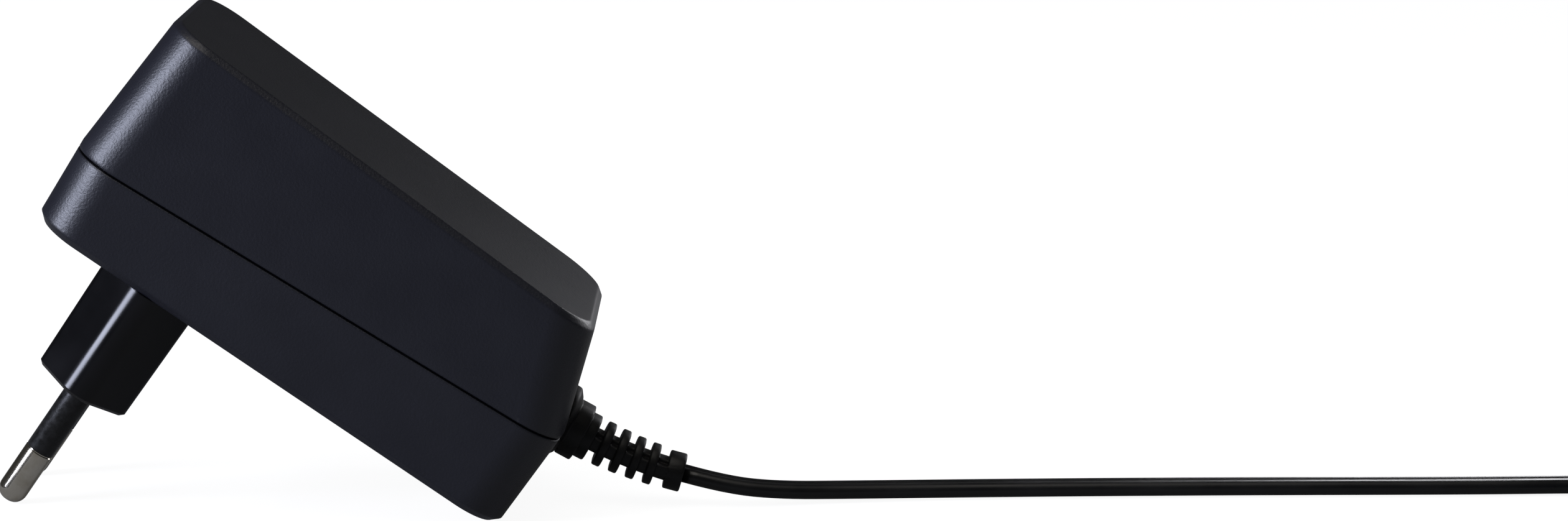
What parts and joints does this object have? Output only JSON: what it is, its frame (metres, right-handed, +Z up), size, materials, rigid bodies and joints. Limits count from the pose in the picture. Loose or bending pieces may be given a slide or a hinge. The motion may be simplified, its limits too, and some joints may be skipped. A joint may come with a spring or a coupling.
{
  "type": "plug-in power adapter",
  "caption": "Black plug-in power adapter with a flat mains plug, ribbed strain relief and a flat cord that ends in a low-voltage barrel plug.",
  "frame": {"origin": "on the table under the middle of the adapter's box, as it lies on its pin tips and on the bottom edge of its cord end", "axes": "+X along the adapter towards the cord, +Y across the housing from the near pin to the far pin, +Z up from the table"},
  "size_m": [0.3145, 0.0609, 0.0665],
  "materials": {
    "housing_plastic": "matte, spark-eroded grain",
    "block_plastic": "gloss",
    "nickel_brass": "bright nickel plate",
    "sleeve_plastic": "satin",
    "soft_pvc": "matte",
    "cord_pvc": "satin",
    "board_laminate": "satin",
    "component_epoxy": "matte",
    "disc_epoxy": "gloss",
    "film_case": "satin",
    "can_aluminium": "printed sleeve",
    "ferrite": "matte",
    "copper_winding": "enamelled",
    "sheet_aluminium": "brushed",
    "zinc_steel": "zinc plate",
    "tinned_copper": "tinned"
  },
  "bodies": {
    "root": {"bridge_rectifier": "component_epoxy", "bridging_capacitor": "disc_epoxy", "bulk_capacitor_far": "can_aluminium", "bulk_capacitor_near": "can_aluminium", "cable_coil": "cord_pvc", "cable_run": "cord_pvc", "cable_tail": "cord_pvc", "cable_tie": "soft_pvc", "choke_core": "ferrite", "choke_winding_far": "copper_winding", "choke_winding_near": "copper_winding", "circuit_board": "board_laminate", "controller_chip": "component_epoxy", "dc_plug_barrel": "nickel_brass", "dc_plug_contact": "nickel_brass", "dc_plug_grip": "soft_pvc", "dc_plug_insulator": "component_epoxy", "diode_heat_sink": "sheet_aluminium", "fuse": "component_epoxy", "line_capacitor": "film_case", "lower_shell": "housing_plastic", "optocoupler": "component_epoxy", "output_capacitor_far": "can_aluminium", "output_capacitor_near": "can_aluminium", "output_diode": "component_epoxy", "output_wire_far": "cord_pvc", "output_wire_near": "cord_pvc", "pin_sleeve_far": "sleeve_plastic", "pin_sleeve_near": "sleeve_plastic", "pin_wire_far": "tinned_copper", "pin_wire_near": "tinned_copper", "plug_block": "block_plastic", "plug_pin_far": "nickel_brass", "plug_pin_near": "nickel_brass", "sink_screws": "zinc_steel", "strain_relief": "soft_pvc", "switch_heat_sink": "sheet_aluminium", "switch_transistor": "component_epoxy", "transformer_bobbin": "component_epoxy", "transformer_core_far": "ferrite", "transformer_core_near": "ferrite", "transformer_winding": "copper_winding", "upper_shell": "housing_plastic", "varistor": "disc_epoxy"}
  },
  "joints": []
}
